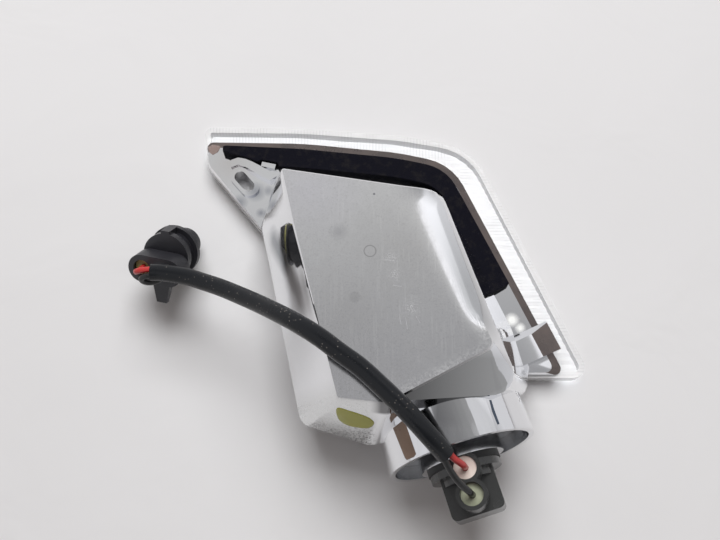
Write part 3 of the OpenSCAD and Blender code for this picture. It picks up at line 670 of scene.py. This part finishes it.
# Dressed pieces
def on_brown_reflection_band(c, n):
    """Whether a face lies on the edge of the flange or on top of the bar, which take the painted brown
    reflection.
    """
    if 0.3 < n.z < 0.99 and 6.6 < c.z < 8.4 and c.y > -39 and (c.x > 18 or c.y > 28):
        return True
    return c.x > 43 and -36 < c.y < -20 and c.z > 9.4 and 0.95 < n.z < 0.9995


dress(
    "housing_skin", "housing", MAT["metal"], bevel=0.25, smooth=26,
    shape=round_shoulder, second=(on_brown_reflection_band, MAT["band"]), area_normals=True,
)
dress("gasket_skin", "gasket", MAT["foam"], bevel=0.3)
dress("holder_skin", "holder_body", MAT["black"], bevel=0.25)
plug = dress("connector_skin", "connector_body", MAT["plug"], bevel=0.3)

for node, key in {
    "lens": "lens", "collar_ring": "ring", "holder_seal": "rubber", "holder_sleeve": "plated",
    "holder_insulator": "board", "holder_contact": "contact", "holder_spring": "plated",
    "holder_terminals": "contact", "holder_wire_seals": "cream", "bulb_glass": "amber",
    "bulb_cap": "plated", "bulb_pins": "plated", "bulb_stem": "clear", "bulb_filament": "plated",
    "bulb_base": "ceramic", "bulb_tip": "plated", "connector_seal": "yellow",
    "connector_wire_seals": "yellow", "connector_terminals": "contact",
}.items():
    mesh = nodes[node].data
    mesh.materials.clear()
    mesh.materials.append(MAT[key])


# Marks on the housing, given by their outlines in the picture: a paint mark, a tint at the corner, and two
# painted reflections on the collar
def points_inside(outline, step):
    """Points of a square grid inside an outline, clear of its corners."""
    low = [min(p[i] for p in outline) for i in (0, 1)]
    high = [max(p[i] for p in outline) for i in (0, 1)]
    inside = []
    v = low[1]
    while v < high[1]:
        u = low[0]
        while u < high[0]:
            crossings = sum(
                1 for a, b in zip(outline, outline[1:] + outline[:1])
                if (a.y > v) != (b.y > v) and u < a.x + (v - a.y) / (b.y - a.y) * (b.x - a.x)
            )
            gap = min((Vector((u, v)) - a).length for a in outline)
            if crossings % 2 and gap > 0.5 * step:
                inside.append(Vector((u, v)))
            u += step
        v += step
    return inside


def mark(name, outline, mat, step=1.6):
    """Thin skin on the housing, cut to an outline in pixels of the picture."""
    lift, thickness = 0.04 * MM, 0.03 * MM
    pts = [Vector(p) for p in outline]
    count = len(pts)
    edges = [(i, (i + 1) % count) for i in range(count)]
    flat, _, faces, *_ = delaunay_2d_cdt(pts + points_inside(pts, step), edges, [], 1, 1e-4)
    host = nodes["housing"].data
    tree = BVHTree.FromPolygons([v.co for v in host.vertices], [tuple(p.vertices) for p in host.polygons])
    verts = []
    for p in flat:
        ray = seen_from(p.x, p.y)
        hit, normal, *_ = tree.ray_cast(camera.location, ray.normalized())
        toward = -1.0 if normal.dot(ray) > 0 else 1.0
        verts.append(hit + normal * toward * lift)
    mesh = bpy.data.meshes.new(name)
    mesh.from_pydata(verts, [], [tuple(f) for f in faces])
    mesh.shade_smooth()
    mesh.materials.append(mat)
    obj = link(bpy.data.objects.new(name, mesh))
    thick = obj.modifiers.new("thickness", "SOLIDIFY")
    thick.thickness = thickness
    thick.offset = 0
    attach(obj, "root")


def smooth_outline(points, steps=4):
    """Closed outline through given points, rounded between them."""
    out = []
    n = len(points)
    for i in range(n):
        p0, p1, p2, p3 = (Vector(points[(i + k - 1) % n]) for k in range(4))
        for k in range(steps):
            t = k / steps
            out.append(0.5 * ((2 * p1) + (p2 - p0) * t + (2 * p0 - 5 * p1 + 4 * p2 - p3) * t * t
                              + (3 * p1 - p0 - 3 * p2 + p3) * t * t * t))
    return out


mark("paint_mark", smooth_outline([
    (337, 408), (338, 418), (345, 424), (355, 427), (368, 428), (374, 424), (372, 420), (365, 416), (350, 411),
]), MAT["paint"])
# painted reflection: a tan patch on the collar stands in for a tan thing mirrored there
mark("collar_painted_tan_reflection", [
    (393, 428), (402, 421), (405, 422), (416, 454), (414, 457), (407, 460), (405, 458),
], MAT["painted_tan"])
# painted reflection of a thin dark thing, as a line on the collar
mark("collar_dark_reflection", [
    (489.3, 400), (491.3, 400), (494, 409), (499.5, 424), (497.5, 424.5), (492, 411),
], MAT["dark_line_reflection"], step=1.0)
mark("corner_tint", [
    (208, 147), (213, 144.5), (221, 146.5), (218, 152), (213, 155), (209, 152),
], MAT["tint"], step=1.2)


# Table
def floor_material():
    m = Nodes("table")
    crease = m.noise(16, 3, 0.5, warp=1.2)
    m.set(color=m.blend(m.ramp(m.noise(3, 3, 0.5), 0.3, 0.7), (0.70, 0.70, 0.71), (0.75, 0.75, 0.76)),
          rough=0.5, spec=0.3)
    m.bump(m.ramp(crease, 0.4, 0.75), 0.16, 0.002)
    return m.mat


bpy.ops.mesh.primitive_plane_add(size=4, location=(0, 0, -0.0001))
floor = bpy.context.object
floor.name = "table"
floor.data.materials.append(floor_material())


# Lamp and cards, in metres
def aim(obj, at, to):
    obj.location = at
    obj.rotation_euler = (Vector(to) - Vector(at)).to_track_quat("-Z", "Y").to_euler()


def lamp(name, at, to, size, power):
    """Soft lamp that polished surfaces don't mirror."""
    data = bpy.data.lights.new(name, "AREA")
    data.shape = "RECTANGLE"
    data.size, data.size_y = size
    data.energy = power
    obj = link(bpy.data.objects.new(name, data))
    aim(obj, at, to)
    obj.visible_glossy = False


def card(name, at, to, size, way, span, levels):
    """Glowing card that only polished surfaces mirror, shaded from one level to another."""
    m = Nodes(name)
    glow = m.new("ShaderNodeEmission")
    m.put(glow.inputs["Color"], m.blend(m.along(way, *span), *levels))
    m.join(glow.outputs[0], m.out.inputs["Surface"])
    mesh = bpy.data.meshes.new(name)
    a, b = size[0] / 2, size[1] / 2
    mesh.from_pydata([(-a, -b, 0), (a, -b, 0), (a, b, 0), (-a, b, 0)], [], [(0, 1, 2, 3)])
    mesh.materials.append(m.mat)
    obj = link(bpy.data.objects.new(name, mesh))
    aim(obj, at, to)
    obj.visible_camera = obj.visible_diffuse = obj.visible_shadow = obj.visible_transmission = False


lamp("key", at=(-0.02, 0.42, 0.88), to=(0, -0.02, 0), size=(0.66, 0.6), power=9.4)
card("ceiling", at=(-0.12, 0.30, 1.1), to=(-0.12, 0.30, 0), size=(1.1, 0.75),
     way="Y", span=(-0.11, 0.19), levels=((0.36, 0.36, 0.37), (0.60, 0.60, 0.60)))
card("window", at=(0.58, 0.33, 0.80), to=(0, -0.02, 0), size=(0.62, 0.5),
     way="X", span=(-0.31, 0.18), levels=((0.45, 0.45, 0.46), (1.15, 1.15, 1.18)))
card("dim_side", at=(0.16, -0.56, 0.52), to=(0, -0.04, 0.04), size=(0.9, 0.5),
     way="X", span=(-0.30, 0.25), levels=((0.17, 0.17, 0.18), (0.42, 0.42, 0.42)))


# World: a warm fill for the object, and a pale room for what is seen or mirrored
world = bpy.data.worlds.new("world")
bpy.context.scene.world = world
world.use_nodes = True
tree = world.node_tree
fill = tree.nodes["Background"]
fill.inputs["Color"].default_value = (1.0, 0.91, 0.87, 1)
fill.inputs["Strength"].default_value = 0.24
room = tree.nodes.new("ShaderNodeBackground")
room.inputs["Color"].default_value = (0.72, 0.72, 0.74, 1)
room.inputs["Strength"].default_value = 1.0
path = tree.nodes.new("ShaderNodeLightPath")
mixer = tree.nodes.new("ShaderNodeMixShader")
shows_room = path.outputs["Is Camera Ray"]
for kind in ("Is Glossy Ray", "Is Transmission Ray"):
    either = tree.nodes.new("ShaderNodeMath")
    either.operation = "MAXIMUM"
    tree.links.new(shows_room, either.inputs[0])
    tree.links.new(path.outputs[kind], either.inputs[1])
    shows_room = either.outputs[0]
tree.links.new(shows_room, mixer.inputs["Fac"])
tree.links.new(fill.outputs[0], mixer.inputs[1])
tree.links.new(room.outputs[0], mixer.inputs[2])
tree.links.new(mixer.outputs[0], tree.nodes["World Output"].inputs["Surface"])
bpy.context.scene.view_settings.view_transform = "Standard"
